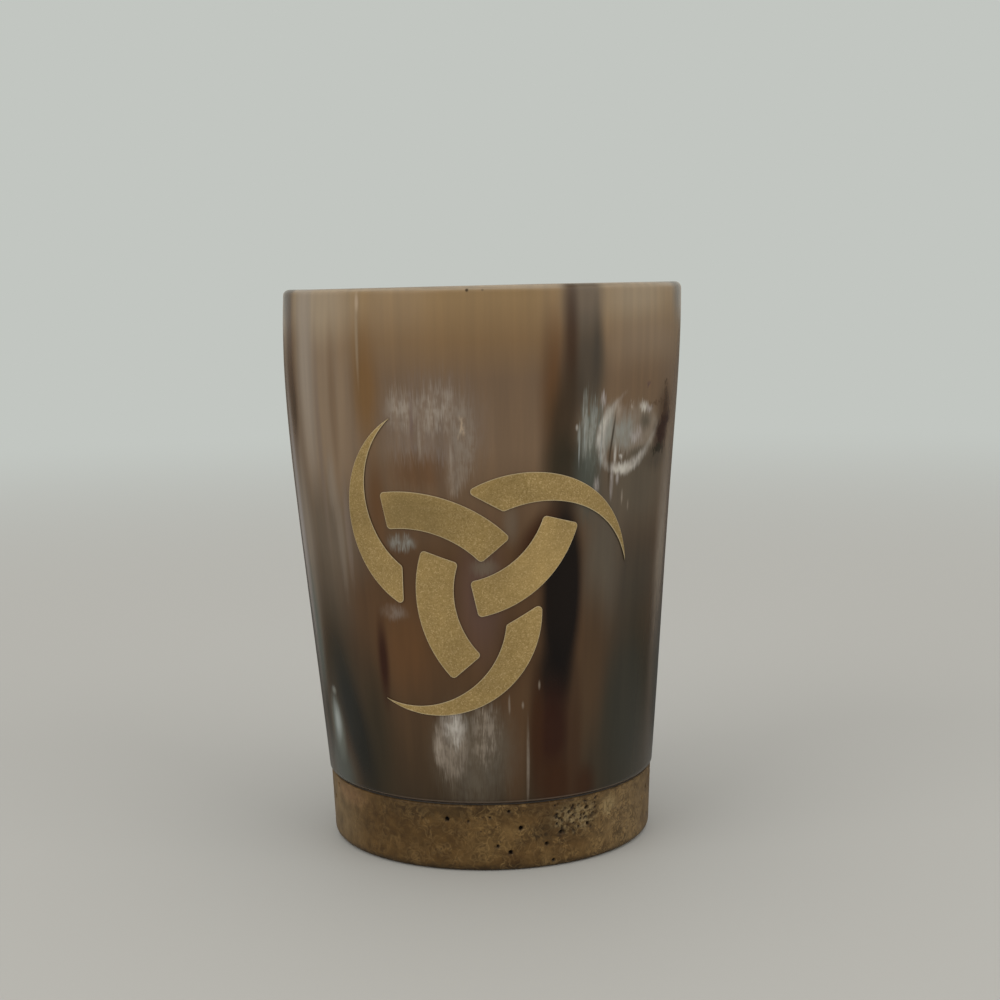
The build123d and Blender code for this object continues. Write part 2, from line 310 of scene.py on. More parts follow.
# marks in the horn, laid on in turn
hornMarks = [
    # left side: pale at the rim, grey below, slate at the foot with a white flame that is a painted
    # reflection
    # the pale rim here is partly painted light that shines through the thin wall
    mark("sand", (-21, 64), (5.5, 16), soft=0.7),
    mark("straw", (-21, 76), (5.5, 4.5), soft=0.7),
    mark("dove", (-24.6, 68), (1.9, 15), strength=0.8),
    mark("ash", (-22.5, 45), (6.5, 6)),
    # painted reflection: pale grey where the gloss near the left silhouette picks up the bright room
    mark("mist", (-29.4, 43), (2.4, 14)),
    mark("fog", (-24, 36), (4.5, 5), strength=0.6),
    mark("peat", (-23.5, 26), (5, 8), soft=0.7),
    mark("steel", (-30.4, 30), (1.8, 8)),
    # painted reflection: a pale strip along the left silhouette
    mark("pearl", (-32, 43), (1.3, 18), fray=2),
    mark("peat", (-16.2, 17), (3, 11), strength=0.85),
    mark("soot", (-20.6, 18.5), (2.7, 9), soft=0.6, lean=-0.25),
    mark("slate", (-26.2, 11.8), (3.4, 4.2), soft=0.6, lean=-0.25),
    # painted reflection: the pale flame near the left silhouette, laid on as these two marks
    mark("steel", (-26, 17.6), (1.8, 3.8), soft=0.6, lean=-0.1, fray=0.5),
    mark("frost", (-25.9, 18.3), (0.9, 2), soft=0.9, fray=0.5, bow=-0.03),
    mark("pewter", (-26, 22.7), (0.6, 0.5)),
    mark("peat", (-29.6, 17), (0.9, 4)),
    mark("chestnut", (-29.8, 69), (1.6, 11), soft=0.7),
    mark("walnut", (-31.6, 77), (2.4, 3.5)),
    mark("walnut", (-29, 61.8), (1, 3.4), soft=0.9),
    mark("mist", (-19.3, 45), (0.6, 6.5), soft=0.6, fray=1.2, strength=0.4),
    mark("taupe", (-17.8, 46), (0.5, 6), soft=0.6, fray=1.2, strength=0.6),
    mark("mist", (-20.2, 52), (0.7, 3.5), soft=0.7, fray=1, strength=0.6),
    mark("fawn", (-18.8, 62), (0.7, 9), soft=0.7, strength=0.7),
    mark("taupe", (-22, 58), (0.5, 12), strength=0.6),
    mark("toffee", (-13.3, 65), (1.8, 6.5), soft=0.7),
    mark("straw", (-14.3, 72), (0.2, 5), strength=0.5),
    mark("cream", (-14.2, 76), (0.24, 1), strength=0.8),
    # right side: pale at the rim, partly painted light through the thin wall, smoke grey to olive black at
    # the foot
    mark("straw", (23, 76.5), (6.2, 4)),
    mark("sand", (25, 70), (7.5, 3.5)),
    mark("fawn", (25, 63), (7.5, 5)),
    mark("fog", (25, 51), (7.5, 7)),
    mark("smoke", (25, 39), (7, 6)),
    mark("olive", (25, 20.5), (7.5, 15), soft=0.65),
    # painted reflection: a pale strip along the right silhouette
    mark("mist", (33.9, 41), (2.2, 14), fray=3, grain=0.2),
    mark("taupe", (34.2, 24), (2.4, 9), fray=2, strength=0.8),
    mark("ash", (34.8, 77), (2, 3.5)),
    # dark band: two lines at the rim, black by the figure, red-brown at the foot
    mark("amber", (10.5, 64.5), (1.5, 8.5)),
    mark("ash", (14.4, 76), (2.7, 5), soft=0.5),
    mark("smoke", (14.6, 67), (2.8, 6), soft=0.6),
    mark("liver", (12.6, 71), (0.9, 8)),
    mark("smoke", (16.3, 69), (0.8, 4.5), soft=0.9),
    mark("umber", (11.7, 60), (1.9, 6.5), soft=0.7, lean=0.12),
    mark("peat", (12.4, 54), (2.8, 4.5), soft=0.6),
    mark("fog", (18.2, 42), (2.8, 8), soft=0.7, strength=0.85),
    mark("walnut", (17.2, 28), (2.2, 9), soft=0.7),
    mark("slate", (15.4, 53), (1.8, 5), soft=0.7, fray=1),
    mark("pitch", (12, 38), (2.9, 12.5), soft=0.3, strength=0.97),
    mark("pitch", (11.2, 26.5), (2.8, 5), soft=0.6),
    mark("oxblood", (11, 19), (2.8, 6), soft=0.6),
    mark("russet", (11.8, 11.8), (3, 3.5), soft=0.7),
    mark("liver", (14.7, 17), (1, 8), soft=0.7, strength=0.85),
    mark("russet", (16.6, 11), (1.6, 2.5), soft=0.7, strength=0.8),
    mark("russet", (8.4, 45.6), (1.7, 3.4), soft=0.7, lean=0.5),
    # brown and red round the figure
    mark("amber", (-9.5, 31), (4, 5.5), strength=0.8),
    mark("oxblood", (-13.6, 28.5), (0.8, 5), soft=0.7),
    mark("plum", (1, 38), (2.5, 7), strength=0.5),
    mark("ash", (5, 47.5), (0.8, 2.2), strength=0.6),
    mark("liver", (5.2, 30), (1.6, 4), strength=0.7),
    mark("chestnut", (5.6, 18), (1.6, 8), soft=0.7, strength=0.8),
    mark("russet", (8.7, 19), (0.9, 7), soft=0.7, strength=0.8),
    # pale fibre at the foot
    mark("fog", (-0.5, 16.5), (5.5, 6.5), soft=0.5, fray=1, grain=0.3),
    mark("mist", (-3.7, 17.5), (2.3, 4.2), soft=0.45, fray=1, grain=0.6),
    mark("ivory", (-3.2, 20.1), (1.3, 2), fray=1, grain=0.6),
    mark("dove", (-5.6, 17.2), (0.7, 2), fray=0.8, grain=0.5),
    mark("mist", (1.3, 19.3), (1.8, 3.4), soft=0.7, fray=1.8, grain=0.8),
    mark("mist", (7.4, 14.8), (0.2, 4.6), soft=0.7, strength=0.7, grain=0.4),
    mark("mist", (9, 25.6), (0.13, 0.5), strength=0.7),
    mark("mist", (4.8, 23), (0.13, 1), fray=0.5, strength=0.6),
    mark("mist", (6.7, 23), (0.14, 0.4), strength=0.7),
    # pale fibre above the figure, with a brown window under it
    mark("taupe", (-4.5, 60), (6, 6), soft=0.5, fray=1.5, grain=0.4),
    mark("dove", (-8.4, 62.3), (1.5, 2), fray=1.2, grain=0.7),
    mark("dove", (-3.8, 62.2), (2.3, 2.2), fray=1.6, grain=0.8),
    mark("mist", (-0.8, 58.6), (1.3, 4), soft=0.7, fray=1.8, grain=0.8),
    mark("mist", (-2, 53.6), (1, 2.4), soft=0.5, fray=0.8, grain=0.5),
    mark("cream", (-0.9, 60.1), (0.25, 0.9), soft=0.9, torn=True, strength=0.7),
    mark("dove", (-6.2, 58), (0.18, 2.4), soft=0.9, strength=0.7, grain=0.5),
    mark("dove", (-2.3, 55), (0.16, 2.6), soft=0.9, strength=0.7, grain=0.5),
    mark("plum", (-7.1, 60.6), (0.2, 3), soft=0.9, strength=0.6, grain=0.5),
    mark("amber", (-6.4, 54.2), (3.4, 2), fray=1, strength=0.75),
    mark("amber", (-12.6, 50), (1.2, 5), strength=0.8),
    # grey patches between the gold shapes
    mark("silver", (-9.4, 44.9), (1.6, 0.9), soft=0.7, fray=0.5, grain=0.7),
    mark("taupe", (-11.2, 35.4), (1.6, 0.8), fray=0.4, grain=0.6),
    mark("ash", (1.5, 41.7), (1.5, 1), soft=0.7, fray=0.5, strength=0.8),
    # torn white swirl on the right: loose fibre, clouded middle, crescent and slit, lower arc
    mark("steel", (16, 58.8), (1.9, 3.8), soft=0.6, fray=2, grain=0.5),
    mark("silver", (14.8, 60.4), (0.3, 1.2), fray=1.4, grain=0.5),
    mark("silver", (16.1, 60.2), (0.4, 1.8), fray=1.4, grain=0.6),
    mark("silver", (15.6, 58.2), (0.35, 1.6), fray=1.4, grain=0.6),
    mark("pearl", (17.4, 62.8), (0.35, 0.9), fray=0.8, grain=0.4),
    mark("pewter", (14.8, 62.9), (0.25, 0.9), fray=1, grain=0.4),
    mark("ivory", (13.6, 59.5), (0.15, 0.35), strength=0.7),
    mark("mist", (24, 58.6), (5.2, 3.2), soft=0.35, fray=0.7, grain=0.3),
    mark("silver", (21.2, 58.2), (2, 1.9), soft=0.6, fray=0.8, grain=0.4),
    mark("dove", (19.9, 61.4), (0.7, 1.2), fray=0.5, grain=0.4),
    mark("pearl", (23.6, 57.8), (1.1, 0.9), fray=0.8, grain=0.4),
    mark("mist", (28, 58.7), (1, 1), soft=0.7, torn=True, grain=0.4),
    mark("fog", (25.6, 59.6), (1.1, 1.1), fray=0.5),
    mark("fog", (24.2, 55.6), (2, 0.55), climb=0.2, fray=0.3),
    mark("silver", (18.3, 59), (0.8, 2.6), soft=0.7, lean=0.15, fray=0.6, grain=0.3),
    mark("ivory", (17.2, 58.4), (0.7, 3.8), soft=0.6, lean=0.2, bow=0.1, fray=0.8, grain=0.5, strength=0.8),
    mark("bone", (17.4, 59.6), (0.4, 1.8), lean=0.3, grain=0.5),
    mark("bone", (25, 61.6), (0.75, 0.5), fray=0.5, grain=0.3),
    mark("pearl", (26.3, 61.2), (0.7, 0.4), fray=0.4, grain=0.4),
    mark("dove", (22.5, 62), (0.25, 0.5), torn=True),
    mark("ivory", (23.1, 54), (3.9, 0.7), climb=0.37, sag=0.08, fray=0.3, grain=0.4),
    mark("bone", (20.8, 53.6), (1.4, 0.5), fray=0.4, grain=0.3),
    mark("ivory", (19.7, 55.4), (0.2, 1.4), grain=0.4),
    mark("ivory", (20.8, 55.1), (0.25, 0.5), torn=True),
    mark("peat", (19.1, 57.9), (0.16, 2.8), soft=0.7, lean=0.13, strength=0.8),
    mark("umber", (18.8, 54), (0.22, 2.4), strength=0.6),
    mark("pearl", (19.3, 51.9), (0.25, 1.7), grain=0.5),
    mark("pearl", (20.3, 52.4), (0.22, 0.7), grain=0.3),
    mark("pearl", (16.7, 51.6), (0.4, 0.9), fray=0.6, grain=0.6),
    mark("dove", (21.3, 49.8), (0.15, 0.8), strength=0.7, grain=0.3),
    mark("mist", (22.6, 48.6), (0.15, 0.6), strength=0.7, grain=0.3),
    # wine-dark specks beside it
    mark("smoke", (29, 54.6), (2.8, 1.6), fray=0.8, strength=0.7),
    mark("liver", (31.4, 61), (2.2, 2.4), fray=0.6, strength=0.7),
    mark("oxblood", (30.3, 57.6), (2, 2), soft=0.6, torn=True),
    mark("oxblood", (31.8, 59.4), (1.5, 0.9), soft=0.7, torn=True),
    mark("peat", (29.4, 55.6), (1.7, 0.7), soft=0.7, torn=True),
    mark("liver", (31.3, 61.3), (0.8, 1.6), torn=True),
    mark("walnut", (29, 61.9), (2.2, 0.2), torn=True, strength=0.7),
    mark("walnut", (30.9, 64.4), (0.5, 0.35), torn=True),
    mark("walnut", (31, 63.2), (0.4, 0.4), torn=True),
    mark("plum", (26, 64.8), (0.3, 0.35), torn=True),
    # round the back: dark flames from the foot, amber windows, and pale fibre in two places
    mark("peat", (40, 22), (9, 13), soft=0.7, fray=4),
    mark("sand", (49, 66), (6, 13), fray=2),
    mark("toffee", (51, 33), (2.4, 12), fray=4, strength=0.7),
    mark("soot", (59, 36), (3, 26), soft=0.7, lean=0.04, fray=5),
    mark("fawn", (63.8, 58), (1.6, 16), fray=3, strength=0.7),
    mark("sand", (68, 40), (3, 8), fray=4, grain=0.5, strength=0.8),
    mark("pearl", (67.2, 38), (0.5, 5), fray=3, grain=0.6),
    mark("pearl", (69.4, 43), (0.4, 4), fray=3, grain=0.6),
    mark("russet", (74, 22), (3, 14), fray=5),
    mark("straw", (73, 70), (3.6, 8), fray=2),
    mark("peat", (-40, 25), (8, 14), fray=4),
    mark("mist", (-45, 62), (2.6, 15), fray=3),
    mark("amber", (-49, 34), (2.4, 12), fray=4, strength=0.7),
    mark("peat", (-55, 44), (2.2, 26), lean=-0.03, fray=5),
    mark("taupe", (-64, 21), (2.8, 6), fray=3, grain=0.5),
    mark("ivory", (-63, 19), (0.5, 4), fray=2.5, grain=0.6),
    mark("pearl", (-65.2, 23), (0.4, 3.5), fray=2.5, grain=0.6),
    mark("toffee", (-69, 56), (3.6, 12), fray=3),
    mark("umber", (-75, 33), (2.2, 17), fray=5),
    # painted highlight along the lower edge, where the bevel catches the light, and pits in the rim
    # painted highlight: a pale line all along the foot of the horn
    mark("taupe", (6, 9.7), (34, 0.13), soft=0.6, strength=0.6),
    mark("umber", (0.1, 77.3), (0.18, 0.18), soft=0.5),
    mark("smoke", (1.9, 77.3), (0.13, 0.13), soft=0.5, strength=0.6),
]

# single pale fibres that stand off to the left of the swirl, in mm
looseFibres = {
    "count": 18,
    "around": (13.8, 17.5),
    "up": (55.5, 63.0),
    "halfWidth": (0.06, 0.14),
    "halfHeight": (0.7, 1.9),
    "tones": ["pewter", "silver", "frost"],
    "seed": 5,
}
fibreDraw = random.Random(looseFibres["seed"])
for _ in range(looseFibres["count"]):
    tone = fibreDraw.choice(looseFibres["tones"])
    at = [fibreDraw.uniform(*looseFibres[way]) for way in ("around", "up")]
    half = [fibreDraw.uniform(*looseFibres[size]) for size in ("halfWidth", "halfHeight")]
    hornMarks.append(mark(tone, at, half, fray=0.4, grain=0.3, strength=0.75))


def markGroup():
    # one soft ellipse of colour over what lies under it
    group = bpy.data.node_groups.new("softMark", "ShaderNodeTree")
    for name in ("Under", "Colour"):
        group.interface.new_socket(name=name, in_out="INPUT", socket_type="NodeSocketColor")
    for name in (
        "Around", "Up", "Fibre", "Grain less", "At around", "At up", "Half width", "Half height",
        "Soft", "Lean", "Bow", "Climb", "Sag", "Fray", "Grain", "Strength",
    ):
        group.interface.new_socket(name=name, in_out="INPUT", socket_type="NodeSocketFloat")
    group.interface.new_socket(name="Result", in_out="OUTPUT", socket_type="NodeSocketColor")
    given = group.nodes.new("NodeGroupInput").outputs
    across = addNode(group, "Math", {0: given["Around"], 1: given["At around"]}, operation="SUBTRACT")
    along = addNode(group, "Math", {0: given["Up"], 1: given["At up"]}, operation="SUBTRACT")
    bend = addNode(group, "Math", {0: along, 1: given["Bow"], 2: given["Lean"]}, operation="MULTIPLY_ADD")
    leaned = addNode(group, "Math", {0: along, 1: bend, 2: across}, operation="MULTIPLY_ADD")
    wide = addNode(group, "Math", {0: leaned, 1: given["Half width"]}, operation="DIVIDE")
    curl = addNode(group, "Math", {0: across, 1: given["Sag"], 2: given["Climb"]}, operation="MULTIPLY_ADD")
    lifted = addNode(group, "Math", {0: across, 1: curl, 2: along}, operation="MULTIPLY_ADD")
    frayed = addNode(
        group, "Math", {0: given["Fibre"], 1: given["Fray"], 2: lifted}, operation="MULTIPLY_ADD"
    )
    tall = addNode(group, "Math", {0: frayed, 1: given["Half height"]}, operation="DIVIDE")
    tallSquare = addNode(group, "Math", {0: tall, 1: tall}, operation="MULTIPLY")
    square = addNode(group, "Math", {0: wide, 1: wide, 2: tallSquare}, operation="MULTIPLY_ADD")
    reach = addNode(group, "Math", {0: square}, operation="SQRT")
    outer = addNode(group, "Math", {0: 1.0, 1: given["Soft"]}, operation="ADD")
    inner = addNode(group, "Math", {0: 1.0, 1: given["Soft"]}, operation="SUBTRACT")
    inside = addNode(
        group, "MapRange", {0: reach, 1: outer, 2: inner, 4: given["Strength"]},
        interpolation_type="SMOOTHSTEP",
    )
    broken = addNode(
        group, "Math", {0: given["Grain"], 1: given["Grain less"], 2: 1.0}, operation="MULTIPLY_ADD"
    )
    amount = addNode(group, "Math", {0: inside, 1: broken}, operation="MULTIPLY")
    mixed = addNode(group, "Mix", {0: amount, 6: given["Under"], 7: given["Colour"]}, data_type="RGBA")
    result = group.nodes.new("NodeGroupOutput")
    group.links.new(mixed[2], result.inputs[0])
    return group


softMark = markGroup()


def layMarks(tree, colour, marks, tones, plain, torn, fibre, grainLess):
    # lays each mark over the colour so far; plain and torn are (around, up) in mm
    for laid in marks:
        around, up = torn if laid["torn"] else plain
        values = {
            "Under": colour, "Colour": hexColour(tones[laid["tone"]]),
            "Around": around, "Up": up, "Fibre": fibre, "Grain less": grainLess,
            "At around": laid["at"][0], "At up": laid["at"][1],
            "Half width": laid["half"][0], "Half height": laid["half"][1],
        }
        for name in ("soft", "fray", "grain", "strength"):
            values[name.capitalize()] = laid[name]
        for name in ("lean", "bow", "climb", "sag"):
            values[name.capitalize()] = -laid[name]
        colour = addNode(tree, "Group", values, node_tree=softMark)
    return colour


def unrolled(tree, place, radius):
    # distance round from the front, and height, in mm
    x, y, z = addNode(tree, "SeparateXYZ", {0: place})
    forward = addNode(tree, "Math", {0: y, 1: -1.0}, operation="MULTIPLY")
    angle = addNode(tree, "Math", {0: x, 1: forward}, operation="ARCTAN2")
    return addNode(tree, "Math", {0: angle, 1: radius}, operation="MULTIPLY"), z


def polishedHorn(name, marks):
    material, tree = newMaterial(name)
    place = millimetres(tree)
    aroundHorn, z = unrolled(tree, place, hornSet["rollRadius"])
    noises = {}
    for pattern, detail in hornSet["detail"].items():
        spot = stretched(tree, place, *hornSet[pattern + "Size"])
        noises[pattern] = addNode(tree, "TexNoise", {"Vector": spot, "Scale": 1.0, "Detail": detail})
    centred = addNode(tree, "Math", {0: noises["wander"], 1: 0.5}, operation="SUBTRACT")
    swayed = addNode(
        tree, "Math", {0: centred, 1: hornSet["wander"], 2: aroundHorn}, operation="MULTIPLY_ADD"
    )
    low, high = wideSpan
    tears = addNode(tree, "SeparateColor", {0: noises["tear"]["Color"]})
    torn = []
    for tear, reach, plain in zip(tears, hornSet["tear"], (swayed, z)):
        shift = addNode(tree, "MapRange", {0: tear, 1: low, 2: high, 3: -reach, 4: reach})
        torn.append(addNode(tree, "Math", {0: plain, 1: shift}, operation="ADD"))
    fibre = addNode(tree, "MapRange", {0: noises["fibre"], 1: low, 2: high, 3: -1.0, 4: 1.0})
    broken = addNode(tree, "Math", {0: noises["grain"], 1: noises["mottle"]}, operation="ADD")
    bare, whole = hornSet["breakUp"]
    grainLess = addNode(tree, "MapRange", {0: broken, 1: bare, 2: whole, 3: -1.0, 4: 0.0})

    foot, rim = hornHeights[0][0], hornHeights[-1][0]
    share = addNode(tree, "MapRange", {0: z, 1: foot, 2: rim})
    stops = [((height - foot) / (rim - foot), hornTones[tone]) for height, tone in hornHeights]
    colour = addNode(tree, "ValToRGB", {0: share}, stops=stops)
    colour = layMarks(tree, colour, marks, hornTones, (swayed, z), torn, fibre, grainLess)

    # fine upright streaks: the dark ones a little cooler, the light ones a little warmer
    low, high = noiseSpan
    streak = addNode(
        tree, "MapRange",
        {
            6: noises["streak"], 7: (low,) * 3, 8: (high,) * 3,
            9: hornSet["streakDark"], 10: hornSet["streakLight"],
        },
        data_type="FLOAT_VECTOR",
    )[1]
    colour = addNode(tree, "VectorMath", {0: colour, 1: streak}, operation="MULTIPLY")

    # the cut rim shows the layers of the horn as fine rings
    level = addNode(tree, "VectorMath", {0: place, 1: (1, 1, 0)}, operation="MULTIPLY")
    reach = addNode(tree, "VectorMath", {0: level}, operation="LENGTH")["Value"]
    depth = addNode(tree, "Math", {0: reach, 1: 1 / hornSet["layer"]}, operation="MULTIPLY")
    spot = stretched(tree, place, *hornSet["layerSize"])
    layers = addNode(
        tree, "TexNoise", {"Vector": spot, "W": depth, "Scale": 1.0, "Detail": 2.0}, noise_dimensions="4D"
    )
    dark, light = hornSet["layerShade"]
    rings = addNode(tree, "MapRange", {0: layers, 1: low, 2: high, 3: dark, 4: light})
    upward = addNode(tree, "SeparateXYZ", {0: addNode(tree, "NewGeometry")["Normal"]})[2]
    side, top = hornSet["rimFacing"]
    onRim = addNode(tree, "MapRange", {0: upward, 1: side, 2: top})
    ringed = addNode(tree, "Math", {0: rings, 1: onRim, 2: 1.0}, operation="MULTIPLY_ADD")
    colour = addNode(tree, "VectorMath", {0: colour, "Scale": ringed}, operation="SCALE")

    smooth, dull = hornSet["roughness"]
    gloss = addNode(tree, "MapRange", {0: noises["grain"], 3: smooth, 4: dull})
    return finished(
        material, noises["streak"], hornSet,
        {
            "Base Color": colour, "Roughness": gloss, "IOR": hornSet["ior"],
            "Specular IOR Level": hornSet["specular"],
        },
    )


boreSet = {
    "lineSize": (0.8, 30),  # mm across, mm along
    "bandSize": (7, 45),
    "lineShare": 0.35,
    "relief": (0.25, 0.08),  # of the lines: strength, depth in mm
    "roughness": 0.42,
}


def scrapedBore():
    # horn inside, scraped but not polished: paler, duller, with upright scraper lines
    material, tree = newMaterial("scrapedHornBore")
    place = millimetres(tree)
    lineSpot = stretched(tree, place, *boreSet["lineSize"])
    lines = addNode(tree, "TexNoise", {"Vector": lineSpot, "Scale": 1.0, "Detail": 4.0})
    bandSpot = stretched(tree, place, *boreSet["bandSize"])
    bands = addNode(tree, "TexNoise", {"Vector": bandSpot, "Scale": 1.0, "Detail": 2.0})
    both = addNode(tree, "Math", {0: lines, 1: boreSet["lineShare"], 2: bands}, operation="MULTIPLY_ADD")
    colour = addNode(
        tree, "ValToRGB", {0: both},
        stops=[(0.45, "#4a3a2b"), (0.6, "#70583c"), (0.75, "#8a7150"), (0.9, "#a18b6b")],
    )
    return finished(
        material, lines, boreSet,
        {"Base Color": colour, "Roughness": boreSet["roughness"], "IOR": hornSet["ior"]},
    )


# Horn sleeve

# One material can't hold every mark, so the outside has three, in degrees round from the front.
# The first two meet inside the dark band.
hornSides = {"Left": (-90, 27), "Right": (27, 90), "Back": (90, 270)}


def reaches(laid, start, end):
    # whether a mark shows on a side; one that crosses an edge is on both sides of it
    width = laid["half"][0] * (1 + laid["soft"]) + hornSet["spare"]
    centre, reach = [math.degrees(size / hornSet["rollRadius"]) for size in (laid["at"][0], width)]
    away = abs((centre - (start + end) / 2 + 180) % 360 - 180)
    return away - reach < (end - start) / 2


def buildHorn():
    tree = cadTree("horn_sleeve")
    lowest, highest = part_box("horn_sleeve")
    foot, rim = lowest.z, highest.z
    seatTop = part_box("wooden_base")[1].z
    bevelTop = foot + hornSet["footBevel"] * mm
    bevelRings, rimRings = hornSet["bevelRings"], hornSet["rimRings"]
    rimRound = hornSet["rimRound"] * mm
    rimFoot = rim - rimRound
    curve = [rim - rimRound * (1 - math.sin(i / rimRings * math.pi / 2)) for i in range(rimRings)]
    curve.append(rim - hair)

    outsideCount = round((rimFoot - bevelTop) / (hornSet["ringStep"] * mm))
    outside = [foot + hair + (bevelTop - foot - hair) * i / bevelRings for i in range(bevelRings)]
    outside += [bevelTop + (rimFoot - bevelTop) * i / outsideCount for i in range(outsideCount)]
    insideCount = round((rimFoot - seatTop) / (hornSet["boreStep"] * mm))
    inside = [rimFoot - (rimFoot - seatTop - hair) * (i + 1) / insideCount for i in range(insideCount)]
    seat = [seatTop - hair, foot + hair]

    rows = [readRing(tree, h) for h in outside + curve]
    outerRows = len(rows)
    rows += [readRing(tree, h, fromInside=True) for h in curve[::-1] + inside + seat]
    lipRows = outerRows + len(curve)

    def shape(centre, radius, way, angle, row):
        height = centre.z
        if row < outerRows:
            spot = way * radius / mm / hornSet["polishWidth"]
            uneven = noise.noise((spot.x, spot.y, height / mm / hornSet["polishLength"]))
            radius -= hornSet["polish"] * mm * (0.5 + 0.5 * uneven)
        waves = way * hornSet["rimWaves"]
        sway = 0.5 + 0.5 * noise.noise((waves.x, waves.y, hornSet["rimWaveStart"]))
        drop = hornSet["rimWave"] * sway + hornSet["rimSlope"] * (0.5 - 0.5 * way.x)
        nearRim = max(0.0, 1 - (rim - height) / (hornSet["rimReach"] * mm))
        point = centre + way * radius
        point.z -= drop * mm * nearRim
        return point

    def materialOf(row, column):
        if row >= lipRows:
            return len(hornSides)
        degrees = 360 * (column + 0.5) / hornSet["columns"]
        for index, (start, end) in enumerate(hornSides.values()):
            if (degrees - start) % 360 < end - start:
                return index

    materials = []
    for side, (start, end) in hornSides.items():
        marks = [laid for laid in hornMarks if reaches(laid, start, end)]
        materials.append(polishedHorn("polishedCattleHorn" + side, marks))
        print("horn", side.lower(), "holds", len(marks), "marks")
    materials.append(scrapedBore())
    horn = ringMesh("horn_body", rows, hornSet["columns"], shape, materials, materialOf, closed=True)
    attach(horn, "root")
    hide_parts("horn_sleeve")
    print("horn built of", len(rows), "rings")


buildHorn()


# Wooden base
# Burr wood, turned and oiled: short worm-like figure in golden browns, with open pores and bark pits.

baseSet = {
    "columns": 1000,
    "sideRows": 64,
    "roundRings": 8,
    "flatRings": 6,
    "bottomRound": 0.9,
    "topRound": 0.2,
    "edgeGap": 0.05,  # mm that a ring keeps from the spigot's ends
    "spigotBevel": 0.55,
    "uneven": 0.03,
    "unevenTurns": 3,
    "unevenRise": 0.3,
    "rollRadius": 23.0,  # mm, turns an angle into a distance round the wood
    "clusterPits": 64,  # small pores crowded together on the right
    "clusterSpan": ((25.0, 42.0), (4.6, 8.7)),  # degrees round from the front, height in mm
    "clusterRadius": (0.12, 0.24),
    "clusterDepth": (0.12, 0.35),
    "pitCount": 26,  # more pits round the sides and back
    "pitSpan": ((60, 300), (1.0, 8.4)),
    "pitRadius": (0.2, 0.36),
    "pitDepth": 1.6,  # for each mm of radius
    "pitShade": 3,  # painted shade: darkening for each mm of depth
    "seed": 11,
    "toneScale": 0.14,  # broad tones, about 7 mm wide
    "cellScale": 0.55,  # cells of the burr, about 2 mm wide
    "cellRoughness": 0.65,
    "cellDark": (0.70, 0.68, 0.62),
    "cellLight": (1.30, 1.32, 1.36),
    "patchScale": 0.4,  # patches of figure, 2.5 mm wide
    "patchCut": (0.38, 0.6),
    "patchLeast": 0.2,
    "figureSpan": (-20.0, 6.0),  # mm round from the front over which the figure grows strong
    "figureLeast": 0.25,
    "wormSize": 1.5,  # mm, length of the light and dark worm marks
    "wormWidth": 0.08,
    "wormBend": 1.2,
    "fleckSize": 0.6,
    "fleckBreak": (0.42, 0.58),
    "relief": (0.25, 0.15),  # of the flecks: strength, depth in mm
    "poreSpacing": 0.8,  # mm
    "poreEdge": (0.2, 0.1),  # share of the spacing, from bare wood to full pore
    "poreShade": 0.7,
    "poreCrowd": (0.5, 0.6),
    "roughness": 0.55,
    "specular": 0.2,  # kept low, because oil that has sunk in shines little
}

# worm marks: scale beside the worm size, colour, strength
baseWorms = [(1.0, "#8a6f45", 0.5), (1.15, "#2c1d0a", 0.6)]

# pits on the front: degrees round from the front, height, radius and depth in mm
basePits = [
    (-11.0, 7.2, 0.36, 0.6), (3.5, 7.5, 0.20, 0.3), (-3.8, 7.0, 0.20, 0.3), (6.0, 3.5, 0.26, 0.4),
    (9.8, 8.3, 0.24, 0.4), (13.8, 5.9, 0.34, 0.6), (10.3, 2.6, 0.34, 0.6), (22.8, 3.4, 0.28, 0.5),
    (28.2, 4.8, 0.30, 0.5), (25.3, 0.95, 0.28, 0.4), (38.0, 7.6, 0.26, 0.5), (38.6, 5.3, 0.28, 0.5),
]

woodTones = {
    "pale": "#6c583a",
    "rosy": "#75563a",
    "brown": "#4c3616",
    "dark": "#362812",
    "footShade": "#2e2416",
    "straw": "#887450",
    "pore": "#2a1c0e",
    "pit": "#140d08",
}

# stains in the wood, with painted light on both sides and painted shade along the foot, laid on as the marks
# of the horn are
baseMarks = [
    # painted light: paler towards the left silhouette, where the wood catches the light
    mark("pale", (-26.5, 5), (6, 9), strength=0.8),
    mark("rosy", (-22, 8), (4, 1.2), fray=0.4, strength=0.5),
    mark("brown", (-8, 5.5), (7, 5), fray=0.8, strength=0.7),
    # painted light: paler towards the right silhouette, where the wood catches the light
    mark("pale", (24, 5), (6, 9), fray=0.8, grain=0.4),
    mark("dark", (13.2, 6.6), (3.8, 2.3), soft=0.6, fray=1, grain=0.5),
    mark("straw", (13.8, 7), (3.2, 1.6), soft=0.7, fray=1, grain=1),
    mark("dark", (8, 5.2), (1.9, 1), fray=0.8, grain=0.6),
    mark("straw", (19.2, 7.1), (1.3, 1.2), fray=0.6, grain=0.3),
    mark("dark", (-4, 8.2), (11, 1), fray=0.6, strength=0.6),
    # painted shade: a dark band along the foot, where the wood meets the floor
    mark("footShade", (0, 0.3), (60, 0.5), fray=0.2, strength=0.6),
]


